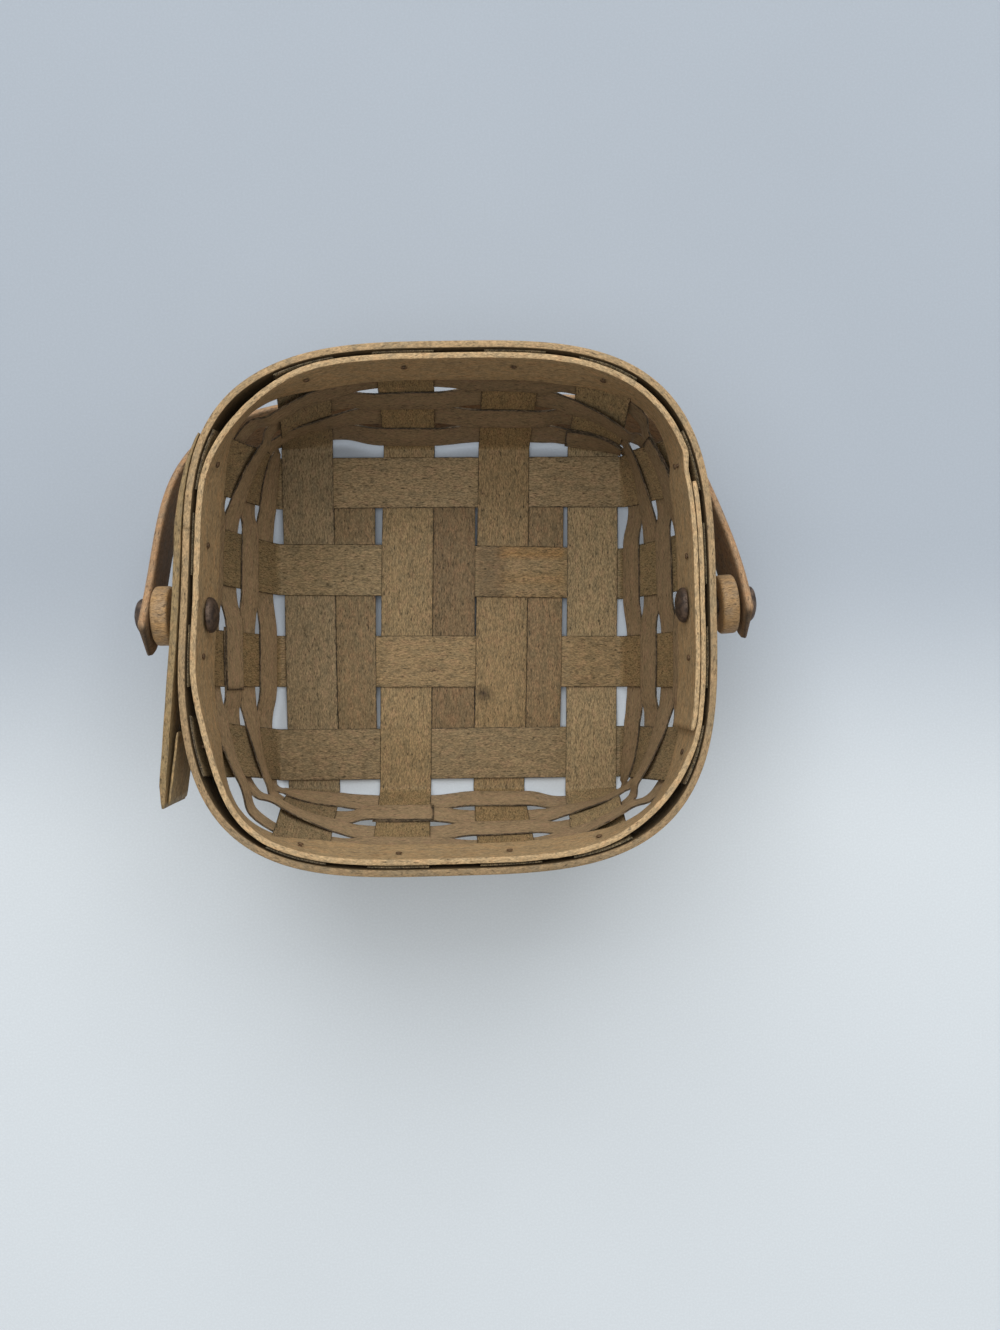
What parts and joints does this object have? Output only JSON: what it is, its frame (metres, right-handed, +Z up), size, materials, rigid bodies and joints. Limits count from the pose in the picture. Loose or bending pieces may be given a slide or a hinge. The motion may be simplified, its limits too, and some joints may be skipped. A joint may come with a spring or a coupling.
{
  "type": "splint berry basket",
  "caption": "Square woven splint basket with rounded rim bands and one bentwood swing handle that pivots on rivets at two opposite walls.",
  "frame": {"origin": "on the ground under the middle of the basket, at the bottom centre of the bounding box with the handle lowered", "axes": "+X along the axis of the two handle rivets, +Y towards the wall over which the lowered handle lies, +Z up through the mouth"},
  "size_m": [0.1936, 0.1608, 0.0765],
  "materials": {
    "upsplint": "aged, dry, uncoated splint wood",
    "filler": "aged, dry, uncoated splint wood",
    "weaver": "aged, dry, uncoated splint wood",
    "inner_band": "aged bent wood, slightly polished by use",
    "outer_band": "aged bent wood with paler cut edges",
    "lap": "aged bent wood with paler cut edges",
    "handle": "aged bent wood with paler cut edges",
    "washer": "turned bare wood",
    "rivet": "dark tarnished metal",
    "tack": "dark tarnished metal"
  },
  "bodies": {
    "basket": {"lengthwise_upsplint_1": "upsplint", "lengthwise_upsplint_2": "upsplint", "lengthwise_upsplint_3": "upsplint", "lengthwise_upsplint_4": "upsplint", "crosswise_upsplint_1": "upsplint", "crosswise_upsplint_2": "upsplint", "crosswise_upsplint_3": "upsplint", "crosswise_upsplint_4": "upsplint", "floor_filler_1": "filler", "floor_filler_2": "filler", "floor_filler_3": "filler", "weaver_row_1": "weaver", "weaver_row_2": "weaver", "weaver_row_3": "weaver", "weaver_row_4": "weaver", "inner_band": "inner_band", "outer_band": "outer_band", "outer_band_lap": "lap", "outer_band_tongue": "lap", "west_handle_washer": "washer", "east_handle_washer": "washer", "west_rivet": "rivet", "west_rivet_cap": "rivet", "east_rivet": "rivet", "east_rivet_cap": "rivet", "tack_1": "tack", "tack_2": "tack", "tack_3": "tack", "tack_4": "tack", "tack_5": "tack", "tack_6": "tack", "tack_7": "tack", "tack_8": "tack", "tack_9": "tack", "tack_10": "tack", "tack_11": "tack", "tack_12": "tack", "tack_13": "tack", "tack_14": "tack", "tack_15": "tack", "tack_16": "tack"},
    "bail": {"handle": "handle"}
  },
  "joints": [
    {"name": "handle_swing", "type": "hinge", "parent": "basket", "child": "bail", "pos_m": [0, 0, 0.065], "axis": [1, 0, 0], "range_deg": [0, 256]}
  ]
}
